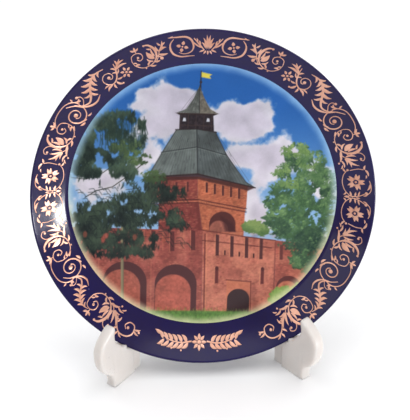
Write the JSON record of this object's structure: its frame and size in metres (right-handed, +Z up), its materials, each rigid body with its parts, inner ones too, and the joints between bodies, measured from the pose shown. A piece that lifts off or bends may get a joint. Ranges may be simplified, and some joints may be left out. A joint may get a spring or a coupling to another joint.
{
  "type": "souvenir plate",
  "caption": "Round dished porcelain plate with a printed scene and gilt scroll rim, leaning in a folding plastic stand of hinged leaves.",
  "frame": {"origin": "on the table, at the middle of the whole object's footprint box", "axes": "+X to the right seen from the picture side, +Y towards the back where the hinge is, +Z up"},
  "size_m": [0.15, 0.0626, 0.1515],
  "materials": {
    "porcelain": "clear gloss glaze over white porcelain, unglazed on the foot ring's flat face",
    "picture_print": "fired colour print of a brick fort under a blue sky, glossy with a slight orange-peel",
    "cobalt_print": "deep cobalt blue fired print, smooth high gloss",
    "gold_print": "thin rose-gold lustre, satin metallic",
    "milky_plastic": "milky translucent moulded plastic, soft sheen"
  },
  "bodies": {
    "hinge": {"hinge_pin": "milky_plastic"},
    "right_stand": {"right_leaf": "milky_plastic"},
    "left_stand": {"left_leaf": "milky_plastic"},
    "plate": {"plate_body": "porcelain", "picture_print": "picture_print", "cobalt_band": "cobalt_print", "gold_ornament": "gold_print"}
  },
  "joints": [
    {"name": "plate_lift", "type": "slide", "parent": "hinge", "child": "plate", "axis": [0, 0, 1], "range_m": [0, 0.1]},
    {"name": "right_leaf_fold", "type": "hinge", "parent": "hinge", "child": "right_stand", "pos_m": [0, 0.0277, 0.024], "axis": [0, 0, -1], "range_deg": [0, 37.5]},
    {"name": "left_leaf_fold", "type": "hinge", "parent": "hinge", "child": "left_stand", "pos_m": [0, 0.0277, 0.024], "axis": [0, 0, 1], "range_deg": [0, 37.5]}
  ],
  "couplings": [
    {"joint": "right_leaf_fold", "follows": "plate_lift", "rad_per_m": 6.5449},
    {"joint": "left_leaf_fold", "follows": "plate_lift", "rad_per_m": 6.5449}
  ]
}
